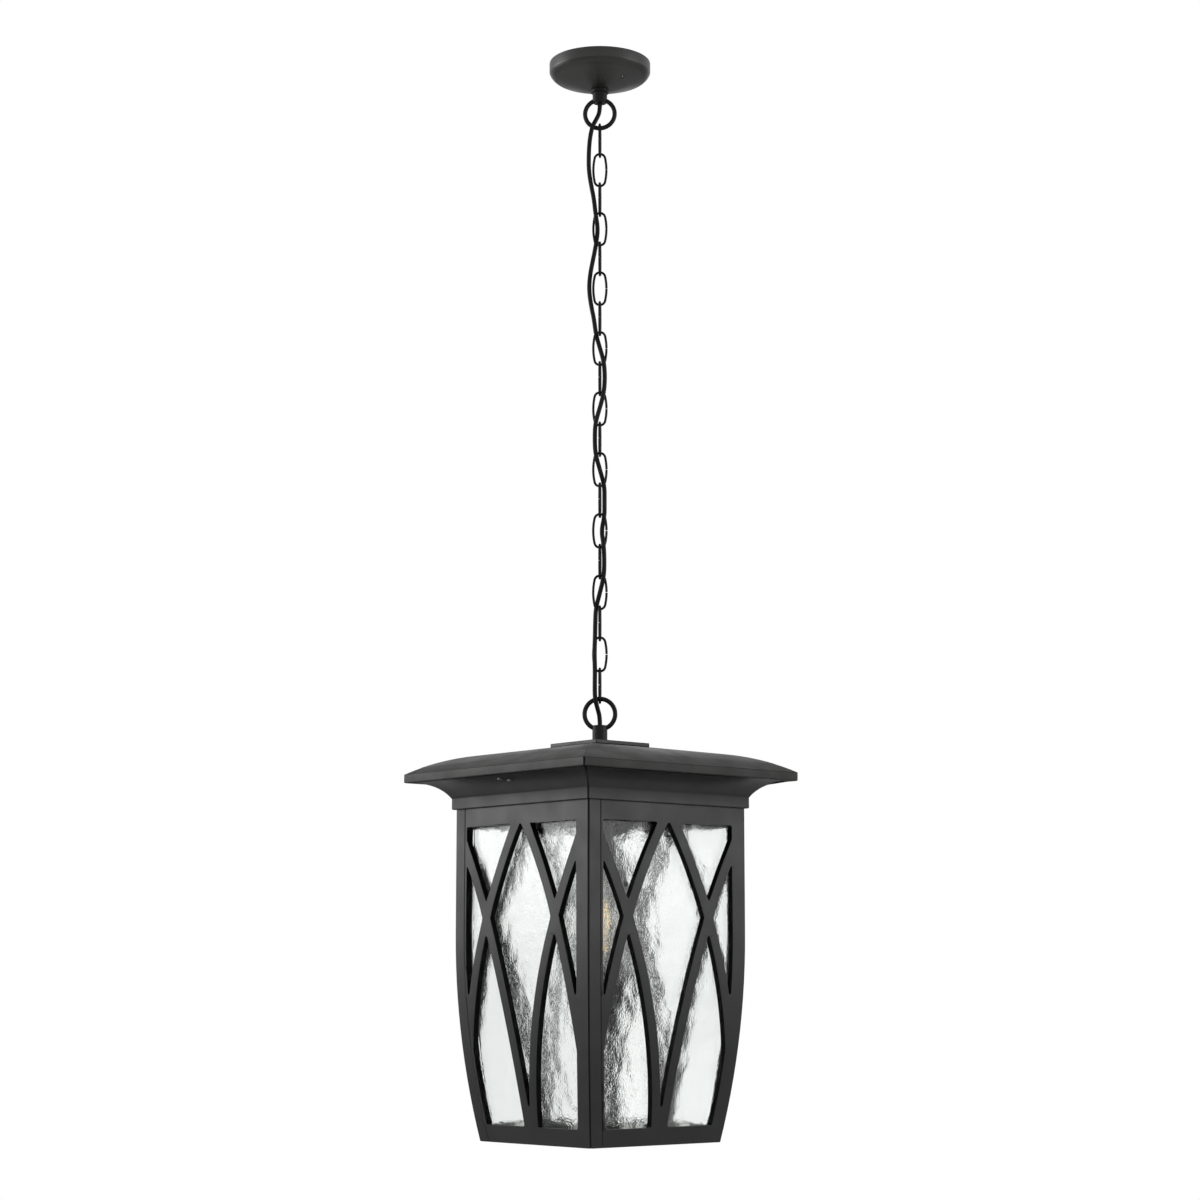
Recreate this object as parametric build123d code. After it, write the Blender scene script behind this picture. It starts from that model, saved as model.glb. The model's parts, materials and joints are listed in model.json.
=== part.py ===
from build123d import *

import os
from math import asin, atan2, cos, degrees, pi, radians, sin, sqrt, tan

# Hanging lantern, in millimetres. The origin is the centre of the ceiling plane, +Z is up and the
# four sides face -Y, +X, +Y and -X. Rings and every second chain link stand along the diagonal (1, 1).

# Clearances
FIT = 0.1  # round hole over the screw, nipple or stem in it
SEAT = 0.2  # pane to frame, and frame to frame at the corner seam
RUN = 0.3  # curved faces that move against each other

# Ceiling plate and canopy
CANOPY_RADIUS = 57.15
CANOPY_WALL = 1.5
CANOPY_SKIRT = 11.0
CANOPY_SHOULDER_RADIUS = 50.5
CANOPY_SHOULDER_DROP = 7.6
CANOPY_ROUND_MID = (1.95, 3.56)  # in from the rim and down from the skirt, middle of the round shoulder
CANOPY_NECK_RADIUS = 11.0
CANOPY_HEIGHT = 31.8
CANOPY_VENT_RADIUS = 1.6
CANOPY_VENT_PLACE = 34.0
CANOPY_VENT_TURN = 8.0
BAR_LENGTH = 102.0
BAR_WIDTH = 20.0
BAR_THICKNESS = 2.5
SLOT_SPACING = 88.9
SLOT_LENGTH = 9.0
SLOT_WIDTH = 4.8
GROUND_SCREW_PLACE = 22.0

# Hollow threaded tubes and their nuts
TUBE_RADIUS = 4.8
TUBE_BORE = 3.3
TUBE_STANDOFF = 1.0  # from the end of a tube to the floor of its socket
NUT_ACROSS_FLATS = 14.0
NUT_HEIGHT = 4.0
WASHER_RADIUS = 14.0
WASHER_THICKNESS = 1.5

# Collar loops, the same casting at both ends of the chain
LOOP_FLANGE_RADIUS = 10.0
LOOP_FLANGE_HEIGHT = 3.2
LOOP_BODY_RADIUS = 8.25
TOP_LOOP_HEIGHT = 15.2
BOTTOM_LOOP_HEIGHT = 19.8
LOOP_SOCKET_DEPTH = 9.5
LOOP_CORD_BORE = 3.2
LOOP_EDGE = 1.0
RING_WIRE = 5.0
RING_RADIUS = 16.75
RING_SINK = 4.25  # how far the ring's wire runs inside the end of the collar

# Chain
LINK_COUNT = 19
LINK_WIRE = 2.7
LINK_WIDTH = 17.4
LINK_LENGTH = 37.43  # between wire centres
LINK_END_RADIUS = 6.0
LINK_SLIT = 0.8

# Cord, from the top collar to the lower one: (along the diagonal, towards the near corner, height)
CORD_DIAMETER = 5.0
CORD_POINTS = [
    (0.0, 0.0, -57.0),
    (-3.6, 3.2, -66.5),
    (-8.2, 6.2, -76.0),
    (-11.2, 5.0, -91.0),
    (-12.4, 3.2, -108.0),
    (-12.4, 2.4, -126.0),
    (-9.8, 3.6, -143.0),
    (-6.4, 4.4, -160.0),
    (-4.6, 5.5, -177.0),
    (-2.0, 0.0, -194.0),
    (-4.8, -5.3, -211.0),
    (-8.0, -4.2, -228.0),
    (-11.4, -3.6, -246.0),
    (-12.4, -1.8, -263.0),
    (-10.4, -3.8, -280.0),
    (-6.8, -4.4, -297.5),
    (-4.8, -5.0, -314.5),
    (0.3, 0.0, -332.0),
    (5.0, 5.0, -349.0),
    (6.0, 4.2, -366.0),
    (4.9, 5.0, -383.5),
    (0.4, 5.4, -400.5),
    (-4.8, 5.0, -418.0),
    (-5.4, 4.4, -435.0),
    (-4.8, 5.0, -452.0),
    (0.0, 0.0, -469.5),
    (4.8, -5.2, -487.0),
    (4.6, -7.2, -504.0),
    (4.8, -5.2, -521.0),
    (1.6, -0.2, -538.5),
    (4.7, 5.7, -555.5),
    (5.2, 3.6, -573.0),
    (4.8, 5.0, -590.0),
    (0.2, 0.0, -607.0),
    (-5.0, -5.4, -624.5),
    (-5.2, -1.4, -642.0),
    (-5.0, 5.3, -659.0),
    (-5.6, 5.4, -676.0),
    (-5.0, 5.0, -693.0),
    (-5.2, 5.6, -710.0),
    (-5.0, 6.4, -725.0),
    (-2.4, 3.0, -736.0),
    (0.0, 0.0, -745.0),
]

# Cap plate and roof
PLATE_WIDTH = 77.0
PLATE_THICKNESS = 4.5
ROOF_TOP_MARGIN = 0.7  # flat top of the roof beyond the plate
ROOF_HALF = 152.8
ROOF_RISE = 28.6
ROOF_BULGE_RUN = 55.6
ROOF_BULGE_RISE = 20.5
ROOF_BULGE_MID = (26.5, 13.1)  # run and rise of the middle of the convex stretch
FASCIA_HEIGHT = 9.0
ROOF_WALL = 3.0

# Cove and collar band under the roof
SOFFIT_LEDGE = 6.8  # from the face of the fascia in to the edge of the cove
COVE_DROP = 18.0
COVE_SAG = 4.7  # of the cove's arc behind its chord
COLLAR_PLAY = 0.4  # frames inside the collar band
COLLAR_HEIGHT = 11.5
COLLAR_WALL = 3.4
SOFFIT_SCREWS = [(-6.5, 2.3), (4.5, 4.4)]  # along the side, down the cove
BOSS_RADIUS = 4.0

# Open mitre lines at the corners of fascia, cove, collar and body
MITRE_GAP = 1.4
MITRE_DEPTH = 2.0

# Lantern body
BODY_HALF = 111.6
BODY_HEIGHT = 354.8
BODY_STRAIGHT = 134.0
BODY_INSET = 20.0
FRAME_DEPTH = 7.0
FRAME_TUCK = 9.5  # how far the frames stand up inside the collar band
CORNER_STRIP = 16.6
FLANGE_THICKNESS = 3.0
FLANGE_LAP = 2.2  # behind the plate, past the corner seam
WINDOW_MARGIN = 20.0
TOP_RAIL = 20.0
BOTTOM_RAIL = 18.5
BAR_FACE = 12.2
TIP_ROUND = 1.2
# Centre lines of the crossing bars: insets from the edge of the body, drops from its top, rises from its foot
ARCH_TIP_DROP = 6.5
ARCH_FOOT_INSET = 23.2
ARCH_FOOT_RISE = 119.8
KITE_HEAD_INSET = 20.6
KITE_HEAD_DROP = 47.6
KITE_FOOT_OUT = 5.8  # from the middle of the side
KITE_FOOT_RISE = 24.8
CROSSING_INSET = 54.6
CROSSING_DROP = 118.4

# Panes and their clips
GLASS = 3.0
PANE_LAP = 9.0  # over the top and bottom rails
PANE_RIGHT = 12.4  # in from the corner, clear of the next frame's corner screws
CLIP_WIDTH = 12.0
CLIP_FOOT = 8.0
CLIP_LAP = 8.0
CLIP_THICKNESS = 1.4
CLIP_PLACE = 42.0

# Screws: shank radius, shank length, head radius, head height
CLIP_SCREW = (1.5, 9.6, 2.8, 1.8)
CORNER_SCREW = (1.5, 8.0, 2.8, 1.8)
COLLAR_SCREW = (1.5, 9.4, 2.8, 1.8)
SOFFIT_SCREW = (1.6, 10.0, 3.0, 1.6)
GROUND_SCREW = (2.0, BAR_THICKNESS, 4.0, 2.6)
SCREW_SLOT = 0.8
CORNER_SCREW_DROP = 40.0  # of the highest, from the top of the body
CORNER_SCREW_RISE = 20.8  # of the lowest, from its foot
COLLAR_SCREW_PLACE = 78.0

# Stem, lampholder and bulb
STEM_LENGTH = 89.0
HOLDER_RADIUS = 16.5
HOLDER_CAP_HEIGHT = 13.0
HOLDER_CAP_WALL = 1.5
HOLDER_NECK_RADIUS = 7.5
HOLDER_NECK_HEIGHT = 5.0
HOLDER_HEIGHT = 39.0
HOLDER_FLOOR = 5.0
SHELL_RADIUS = 14.2
SHELL_WALL = 0.6
SHELL_HEIGHT = 31.0
CONTACT_RADIUS = 4.0
CONTACT_HEIGHT = 1.0
LEAD_RADIUS = 1.0
LEAD_SPREAD = 9.0
BULB_RADIUS = 32.0
BULB_LENGTH = 140.0
BULB_WALL = 0.9
BASE_RADIUS = 13.1
BASE_HEIGHT = 27.0
BASE_TIP_RADIUS = 5.0
BASE_TIP_HEIGHT = 4.2
NECK_LENGTH = 10.0
STEM_GLASS_RADIUS = 4.2
STEM_GLASS_LENGTH = 47.0
STEM_ROD_RADIUS = 1.4
FILAMENT_RADIUS = 0.9
FILAMENT_LENGTH = 53.0
FILAMENT_SPREAD = 7.0
FILAMENT_STEP = 4.25
FILAMENT_COUNT = 4

# Places that follow from the sizes above
CANOPY_FLOOR = -CANOPY_HEIGHT
TOP_LOOP_END = CANOPY_FLOOR - TOP_LOOP_HEIGHT
RING_OFFSET = RING_RADIUS - RING_SINK
TOP_RING = TOP_LOOP_END - RING_OFFSET
LINK_STEP = LINK_LENGTH - LINK_WIRE - RUN
RING_STEP = (RING_WIRE + LINK_WIRE) / 2 + RUN
FIRST_LINK_TOP = TOP_RING - RING_RADIUS + RING_STEP
LAST_LINK_BOTTOM = FIRST_LINK_TOP - (LINK_COUNT - 1) * LINK_STEP - LINK_LENGTH
BOTTOM_RING = LAST_LINK_BOTTOM + RING_STEP - RING_RADIUS
BOTTOM_LOOP_END = BOTTOM_RING - RING_OFFSET
PLATE_TOP = BOTTOM_LOOP_END - BOTTOM_LOOP_HEIGHT
ROOF_TOP = PLATE_TOP - PLATE_THICKNESS
ROOF_TOP_HALF = PLATE_WIDTH / 2 + ROOF_TOP_MARGIN
EAVE_TOP = ROOF_TOP - ROOF_RISE
EAVE_BOTTOM = EAVE_TOP - FASCIA_HEIGHT
SOFFIT_HALF = ROOF_HALF - SOFFIT_LEDGE
COLLAR_TOP = EAVE_BOTTOM - COVE_DROP
COLLAR_HALF = BODY_HALF + COLLAR_PLAY + COLLAR_WALL
BODY_TOP = COLLAR_TOP - COLLAR_HEIGHT
BODY_BOTTOM = BODY_TOP - BODY_HEIGHT
BEND = BODY_TOP - BODY_STRAIGHT
BEND_DROP = BODY_HEIGHT - BODY_STRAIGHT
BEND_RADIUS = (BEND_DROP**2 + BODY_INSET**2) / (2 * BODY_INSET)
FRAME_TOP = BODY_TOP + FRAME_TUCK
WINDOW_TOP = BODY_TOP - TOP_RAIL
WINDOW_BOTTOM = BODY_BOTTOM + BOTTOM_RAIL
ARCH_FOOT = (BODY_HALF - ARCH_FOOT_INSET, BODY_BOTTOM + ARCH_FOOT_RISE)
KITE_HEAD = (BODY_HALF - KITE_HEAD_INSET, BODY_TOP - KITE_HEAD_DROP)
KITE_FOOT = (KITE_FOOT_OUT, BODY_BOTTOM + KITE_FOOT_RISE)
CROSSING = (BODY_HALF - CROSSING_INSET, BODY_TOP - CROSSING_DROP)
ARCH = ((0, BODY_TOP - ARCH_TIP_DROP), CROSSING, ARCH_FOOT)
KITE = (KITE_HEAD, CROSSING, KITE_FOOT)
FLANGE_REACH = CORNER_STRIP + SEAT + FLANGE_LAP
PANE_LEFT = FLANGE_REACH + SEAT
CLIP_DEPTH = FRAME_DEPTH + SEAT + GLASS + SEAT + CLIP_THICKNESS
ROOF_UNDERSIDE = ROOF_TOP - ROOF_WALL
STEM_TOP = PLATE_TOP + LOOP_SOCKET_DEPTH - TUBE_STANDOFF
STEM_BOTTOM = STEM_TOP - STEM_LENGTH
HOLDER_TOP = STEM_BOTTOM + HOLDER_NECK_HEIGHT + HOLDER_CAP_WALL
HOLDER_CAP_TOP = HOLDER_TOP - HOLDER_NECK_HEIGHT
HOLDER_JOINT = HOLDER_CAP_TOP - HOLDER_CAP_HEIGHT
SHELL_TOP = HOLDER_JOINT - HOLDER_FLOOR
CONTACT_BOTTOM = SHELL_TOP - CONTACT_HEIGHT
BULB_TOP = CONTACT_BOTTOM - RUN
BASE_BOTTOM = BULB_TOP - BASE_HEIGHT
CORD_RADIUS = CORD_DIAMETER / 2
CORD_END = STEM_BOTTOM - TUBE_STANDOFF
REACH = 2 * ROOF_HALF
GROUND_PLACE = Pos(GROUND_SCREW_PLACE, 0, -BAR_THICKNESS) * Rot(180, 0, 0)
SIDES = ("left", "right", "back_right", "back_left")  # -Y, +X, +Y and -X


def circle_through(a, b, c):
    """Centre and radius of the circle through three points."""
    ax, ay, bx, by, cx, cy = *a, *b, *c
    d = 2 * (ax * (by - cy) + bx * (cy - ay) + cx * (ay - by))
    a2, b2, c2 = ax * ax + ay * ay, bx * bx + by * by, cx * cx + cy * cy
    x = (a2 * (by - cy) + b2 * (cy - ay) + c2 * (ay - by)) / d
    y = (a2 * (cx - bx) + b2 * (ax - cx) + c2 * (bx - ax)) / d
    return (x, y), sqrt((ax - x) ** 2 + (ay - y) ** 2)


def half_width(z):
    """Half width of the body at height z: straight at the top, drawn in along an arc below."""
    drop = max(BEND - z, 0)
    return BODY_HALF - BEND_RADIUS + sqrt(BEND_RADIUS**2 - drop**2)


def wall_line(side, inset, top, bottom):
    """Edges of the line at side * (half width - inset), from top down to bottom."""

    def at(z):
        return (side * (half_width(z) - inset), z)

    edges = []
    if top > BEND:
        edges.append(Line(at(top), at(max(BEND, bottom))))
    if bottom < BEND:
        start = min(top, BEND)
        edges.append(ThreePointArc(at(start), at((start + bottom) / 2), at(bottom)))
    return edges


def between(first, second, top, bottom):
    """Face between two wall lines, each given as its side and inset."""
    a = wall_line(*first, top, bottom)
    b = wall_line(*second, top, bottom)
    ends = [Line(a[0] @ 0, b[0] @ 0), Line(a[-1] @ 1, b[-1] @ 1)]
    return make_face([*a, *b, *ends])


def front_wall(outer, inner, top=FRAME_TOP, bottom=BODY_BOTTOM):
    """The -Y wall between two depths under its outer face."""
    face = between((-1, outer), (-1, inner), top, bottom)
    return extrude(Plane.YZ * face, REACH, both=True)


def across(first, second, top=FRAME_TOP, bottom=BODY_BOTTOM):
    """Everything between two wall lines along X."""
    return extrude(Plane.XZ * between(first, second, top, bottom), REACH, both=True)


def quarter_turns(solid):
    """The solid at all four sides, starting with -Y."""
    return [Rot(0, 0, 90 * k) * solid for k in range(4)]


def outline(side, start, steps):
    """Edges from start through steps: each is an end point, or an arc's middle and end points."""

    def at(point):
        return (side * point[0], point[1])

    edges = []
    here = at(start)
    for *middle, end in steps:
        line = ThreePointArc(here, at(middle[0]), at(end)) if middle else Line(here, at(end))
        edges.append(line)
        here = at(end)
    return edges


def square_solid(start, steps):
    """Solid of square section whose half width and height follow the outline, top to bottom."""
    right = outline(1, start, steps)
    left = outline(-1, start, steps)
    ends = [Line(left[0] @ 0, right[0] @ 0), Line(left[-1] @ 1, right[-1] @ 1)]
    one = extrude(Plane.XZ * make_face([*right, *left, *ends]), REACH, both=True)
    return one & (Rot(0, 0, 90) * one)


def mitre_blades(bottom, top):
    """Thin upright blades in both diagonal planes, which cut the mitre lines."""
    blade = Pos(0, 0, (bottom + top) / 2) * Box(2 * REACH, MITRE_GAP, top - bottom)
    return Rot(0, 0, 45) * blade + Rot(0, 0, -45) * blade


def upright(radius, bottom, top):
    """Cylinder on the axis between two heights."""
    return Pos(0, 0, bottom) * Cylinder(radius, top - bottom, align=(Align.CENTER, Align.CENTER, Align.MIN))


def turned(*points):
    """Solid of revolution of a closed outline of (radius, height) points."""
    return revolve(Plane.XZ * make_face(Polyline(*points, close=True)), Axis.Z)


def screw(size, growth=0.0):
    """Screw along -Z with its head resting on Z = 0; growth makes the cutter for its hole."""
    shank, length, head, height = size
    body = upright(shank + growth, -length, 0) + upright(head + growth, 0, height)
    if growth:
        return body
    return body - Pos(0, 0, height) * Box(2 * head, SCREW_SLOT, height)


def on_front_wall(x, depth, z):
    """Place on the -Y wall at a depth under its outer face, with Z pointing straight in."""
    angle = asin(max(BEND - z, 0) / BEND_RADIUS)
    return Plane((x, depth - half_width(z), z), x_dir=(1, 0, 0), z_dir=(0, cos(angle), sin(angle)))


def hex_nut(top):
    """Nut on the axis, hanging from the given height."""
    hexagon = RegularPolygon(NUT_ACROSS_FLATS / 2, 6, major_radius=False) - Circle(TUBE_RADIUS + FIT)
    return Pos(0, 0, top - NUT_HEIGHT) * extrude(hexagon, NUT_HEIGHT)


def threaded_tube(bottom, top):
    return upright(TUBE_RADIUS, bottom, top) - upright(TUBE_BORE, bottom, top)


def mounting_bar():
    bar = Pos(0, 0, -BAR_THICKNESS / 2) * Box(BAR_LENGTH, BAR_WIDTH, BAR_THICKNESS)
    bar -= upright(TUBE_RADIUS + FIT, -BAR_THICKNESS, 0)
    slot = extrude(SlotOverall(SLOT_LENGTH, SLOT_WIDTH), -BAR_THICKNESS)
    for side in (-1, 1):
        bar -= Pos(side * SLOT_SPACING / 2, 0, 0) * slot
    return bar - GROUND_PLACE * screw(GROUND_SCREW, FIT)


def canopy():
    start = -CANOPY_SKIRT
    run, drop = CANOPY_ROUND_MID

    def dish(wall):
        lean = sqrt(0.5) * wall
        rim = CANOPY_RADIUS - wall
        inner = CANOPY_SHOULDER_RADIUS - wall / 2
        middle = (CANOPY_RADIUS - run - lean, start - drop + lean)
        end = start - CANOPY_SHOULDER_DROP + wall
        edges = [
            Line((0, 0), (rim, 0)),
            Line((rim, 0), (rim, start)),
            ThreePointArc((rim, start), middle, (inner, end)),
            Line((inner, end), (CANOPY_NECK_RADIUS, CANOPY_FLOOR + wall)),
            Line((CANOPY_NECK_RADIUS, CANOPY_FLOOR + wall), (0, CANOPY_FLOOR + wall)),
            Line((0, CANOPY_FLOOR + wall), (0, 0)),
        ]
        return revolve(Plane.XZ * make_face(edges), Axis.Z)

    vent = upright(CANOPY_VENT_RADIUS, CANOPY_FLOOR, -CANOPY_SKIRT)
    shell = dish(0) - dish(CANOPY_WALL) - upright(TUBE_RADIUS + FIT, CANOPY_FLOOR, 0)
    return shell - Rot(0, 0, CANOPY_VENT_TURN) * Pos(CANOPY_VENT_PLACE, 0, 0) * vent


def collar_loop(end):
    """Collar from Z = 0 up to end with a ring above it, threaded below and bored for the cord."""
    collar = upright(LOOP_FLANGE_RADIUS, 0, LOOP_FLANGE_HEIGHT)
    collar += upright(LOOP_BODY_RADIUS, LOOP_FLANGE_HEIGHT, end)
    collar = chamfer(collar.edges().group_by(Axis.Z)[-1], LOOP_EDGE)
    ring = Rot(0, 0, 45) * Pos(0, 0, end + RING_OFFSET) * Rot(90, 0, 0) * Torus(RING_RADIUS, RING_WIRE / 2)
    loop = collar + ring
    loop -= upright(TUBE_RADIUS + FIT, 0, LOOP_SOCKET_DEPTH)
    return loop - upright(LOOP_CORD_BORE, LOOP_SOCKET_DEPTH, end + RING_WIRE)


def chain_link():
    """Oval wire link about the origin in the XZ plane, open at a slit in the middle of its +X side."""
    half = (LINK_WIDTH - LINK_WIRE) / 2
    rise = LINK_LENGTH / 2 - LINK_END_RADIUS
    side = (half**2 + rise**2 - LINK_END_RADIUS**2) / (2 * (half - LINK_END_RADIUS))
    turn = degrees(atan2(rise, side - half))
    gap = degrees(LINK_SLIT / 2 / side)
    out = side - half
    path = Wire(
        [
            CenterArc((-out, 0), side, gap, turn - gap),
            CenterArc((0, rise), LINK_END_RADIUS, turn, 180 - 2 * turn),
            CenterArc((out, 0), side, 180 - turn, 2 * turn),
            CenterArc((0, -rise), LINK_END_RADIUS, 180 + turn, 180 - 2 * turn),
            CenterArc((-out, 0), side, -turn, turn - gap),
        ]
    )
    path = Plane.XZ * path
    return sweep((path ^ 0) * Circle(LINK_WIRE / 2), path=path)


def cord_path():
    """Straight runs joined by arcs as large as the runs allow, and the arcs' radii."""
    diagonal = sqrt(0.5)
    route = [(0, 0, TOP_LOOP_END), *CORD_POINTS, (0, 0, BOTTOM_LOOP_END)]
    points = [Vector((u + n) * diagonal, (u - n) * diagonal, z) for u, n, z in route]
    runs = [b - a for a, b in zip(points, points[1:])]
    radii = []
    for before, after in zip(runs, runs[1:]):
        half_turn = radians(before.get_angle(after)) / 2
        radii.append(0.45 * min(before.length, after.length) / tan(half_turn))
    return FilletPolyline(*points, radius=radii), radii


def lamp_cord():
    path, radii = cord_path()
    tube = sweep((path ^ 0) * Circle(CORD_RADIUS), path=path)
    share = tube.volume / (pi * CORD_RADIUS**2 * path.length)
    print("cord length", round(path.length, 1), "volume over section times length", round(share, 4))
    print("cord radii", [round(r) for r in radii])
    return tube


def roof():
    bulge = (ROOF_HALF - ROOF_BULGE_RUN, EAVE_TOP + ROOF_BULGE_RISE)
    middle = (ROOF_HALF - ROOF_BULGE_MID[0], EAVE_TOP + ROOF_BULGE_MID[1])
    outer = square_solid(
        (ROOF_TOP_HALF, ROOF_TOP),
        [[bulge], [middle, (ROOF_HALF, EAVE_TOP)], [(ROOF_HALF, EAVE_BOTTOM)]],
    )
    inside = ROOF_HALF - ROOF_WALL
    hollow = square_solid(
        (ROOF_TOP_HALF, ROOF_UNDERSIDE),
        [
            [(bulge[0], bulge[1] - ROOF_WALL)],
            [(middle[0] - ROOF_WALL / 2, middle[1] - ROOF_WALL), (inside, EAVE_TOP - ROOF_WALL / 2)],
            [(inside, EAVE_BOTTOM)],
        ],
    )
    shell = outer - hollow - upright(TUBE_RADIUS + FIT, ROOF_UNDERSIDE, ROOF_TOP)
    behind = ROOF_HALF - MITRE_DEPTH
    shell -= mitre_blades(EAVE_BOTTOM, EAVE_TOP) - square_solid((behind, EAVE_TOP), [[(behind, EAVE_BOTTOM)]])
    for place in boss_places():
        shell += outer & (place * upright(BOSS_RADIUS, 0, ROOF_RISE))
    return shell - [place * screw(SOFFIT_SCREW, FIT) for place in soffit_places()]


def boss_places():
    """Foot of each boss that takes a soffit screw, on the -Y side and the side behind it."""
    floor = EAVE_BOTTOM + COLLAR_WALL
    places = [Pos(along, -out, floor) for along, out, _ in soffit_seats()]
    return [Rot(0, 0, turn) * place for turn in (0, 180) for place in places]


def cove_middle(depth=0.0):
    """Middle of the cove's arc, or the point that far behind it."""
    run = SOFFIT_HALF - COLLAR_HALF
    chord = sqrt(run**2 + COVE_DROP**2)
    back = COVE_SAG + depth
    out = (SOFFIT_HALF + COLLAR_HALF) / 2 - back * COVE_DROP / chord
    return out, EAVE_BOTTOM - COVE_DROP / 2 + back * run / chord


def soffit_seats():
    """Each soffit screw's place along the side, out from the axis, and the height of its seat on the cove."""
    (x0, z0), radius = circle_through((SOFFIT_HALF, EAVE_BOTTOM), cove_middle(), (COLLAR_HALF, COLLAR_TOP))
    seats = []
    for along, drop in SOFFIT_SCREWS:
        height = EAVE_BOTTOM - drop
        out = x0 - sqrt(radius**2 - (height - z0) ** 2)
        seats.append((along, out, height))
    return seats


def soffit_places():
    """Seat of each soffit screw, with the shank pointing up."""
    places = [Pos(along, -out, height) * Rot(180, 0, 0) for along, out, height in soffit_seats()]
    return [Rot(0, 0, turn) * place for turn in (0, 180) for place in places]


def cove_collar():
    rim = ROOF_HALF - ROOF_WALL
    shelf = EAVE_BOTTOM + COLLAR_WALL

    def cove(inset):
        """Outline from the soffit's edge down to the foot of the collar band, moved in by inset."""
        out, height = cove_middle()
        start = (SOFFIT_HALF - inset, EAVE_BOTTOM)
        band = COLLAR_HALF - inset
        return start, [[(out - inset, height), (band, COLLAR_TOP)], [(band, BODY_TOP)]]

    start, steps = cove(0)
    outer = square_solid((rim, shelf), [[(rim, EAVE_BOTTOM)], [start], *steps])
    inside = COLLAR_HALF - COLLAR_WALL
    hollow = square_solid(
        (SOFFIT_HALF, shelf),
        [[cove_middle(COLLAR_WALL), (inside, COLLAR_TOP)], [(inside, BODY_TOP)]],
    )
    ring = outer - hollow
    ring -= mitre_blades(BODY_TOP, EAVE_BOTTOM) - square_solid(*cove(MITRE_DEPTH))
    ring -= [place * screw(SOFFIT_SCREW, FIT) for place in soffit_places()]
    return ring - collar_screws(FIT)


def tracery():
    """The seven openings of one side, in the XZ plane."""
    window = between((-1, WINDOW_MARGIN), (1, WINDOW_MARGIN), WINDOW_TOP, WINDOW_BOTTOM)
    for bar in (ARCH, KITE):
        for side in (-1, 1):
            centre, radius = circle_through(*[(side * out, z) for out, z in bar])
            band = Circle(radius + BAR_FACE / 2) - Circle(radius - BAR_FACE / 2)
            window -= Pos(*centre) * band
    return [offset(offset(face, -TIP_ROUND), TIP_ROUND) for face in window.faces()]


def side_frame():
    """The -Y frame: plate, strip round its right corner and flange behind the next strip."""
    plate = front_wall(0, FRAME_DEPTH) & across((-1, CORNER_STRIP + SEAT), (1, 0))
    strip = front_wall(0, CORNER_STRIP) & across((1, FRAME_DEPTH), (1, 0))
    flange_depth = FRAME_DEPTH + FLANGE_THICKNESS
    flange = front_wall(FRAME_DEPTH, flange_depth) & across((-1, FRAME_DEPTH + SEAT), (-1, FLANGE_REACH))
    body = plate + strip + flange
    behind = across((-1, MITRE_DEPTH), (1, MITRE_DEPTH))
    body -= mitre_blades(BODY_BOTTOM, FRAME_TOP) - (behind & (Rot(0, 0, 90) * behind))
    body -= [extrude(Plane.XZ * face, REACH, both=True) for face in tracery()]
    corner = side_corner_screws(FIT)
    body -= corner + [Rot(0, 0, 90) * cutter for cutter in corner]
    body -= side_clip_screws(FIT) + side_collar_screws(FIT)
    return body


def side_corner_screws(growth=0.0):
    """Screws through the -Y frame's flange into the strip before it."""
    inset = (FRAME_DEPTH + CORNER_STRIP) / 2
    depth = FRAME_DEPTH + FLANGE_THICKNESS
    top = BODY_TOP - CORNER_SCREW_DROP
    bottom = BODY_BOTTOM + CORNER_SCREW_RISE
    heights = (top, (top + bottom) / 2, bottom)
    places = [on_front_wall(inset - half_width(z), depth, z) for z in heights]
    return [place * screw(CORNER_SCREW, growth) for place in places]


def side_collar_screws(growth=0.0):
    """Screws through the top of the -Y frame into the collar band."""
    height = (BODY_TOP + FRAME_TOP) / 2
    places = [on_front_wall(side * COLLAR_SCREW_PLACE, FRAME_DEPTH, height) for side in (-1, 1)]
    return [place * screw(COLLAR_SCREW, growth) for place in places]


def collar_screws(growth=0.0):
    return [turn for one in side_collar_screws(growth) for turn in quarter_turns(one)]


def clip_spans():
    """Foot and tongue heights of the clips over the top and bottom edges of a pane."""
    top = WINDOW_TOP + PANE_LAP
    bottom = WINDOW_BOTTOM - PANE_LAP
    return [
        ((top + SEAT + CLIP_FOOT, top + SEAT), (top + SEAT, top - CLIP_LAP)),
        ((bottom - SEAT, bottom - SEAT - CLIP_FOOT), (bottom + CLIP_LAP, bottom - SEAT)),
    ]


def side_clips():
    """Clips that hold the -Y pane, each an L of foot and tongue."""
    clips = []
    cutters = side_clip_screws(FIT)
    for x in (-CLIP_PLACE, CLIP_PLACE):
        column = Pos(x, 0, 0) * Box(CLIP_WIDTH, REACH, 2 * -BODY_BOTTOM)
        for foot, tongue in clip_spans():
            clip = front_wall(FRAME_DEPTH, CLIP_DEPTH, *foot)
            clip += front_wall(CLIP_DEPTH - CLIP_THICKNESS, CLIP_DEPTH, *tongue)
            clips.append((clip & column) - cutters)
    return clips


def side_clip_screws(growth=0.0):
    screws = []
    for x in (-CLIP_PLACE, CLIP_PLACE):
        for (high, low), _ in clip_spans():
            place = on_front_wall(x, CLIP_DEPTH, (high + low) / 2)
            screws.append(place * screw(CLIP_SCREW, growth))
    return screws


def glass_pane():
    """The -Y pane, bowed like its frame."""
    span = (WINDOW_TOP + PANE_LAP, WINDOW_BOTTOM - PANE_LAP)
    near = FRAME_DEPTH + SEAT
    return front_wall(near, near + GLASS, *span) & across((-1, PANE_LEFT), (1, PANE_RIGHT), *span)


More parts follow.
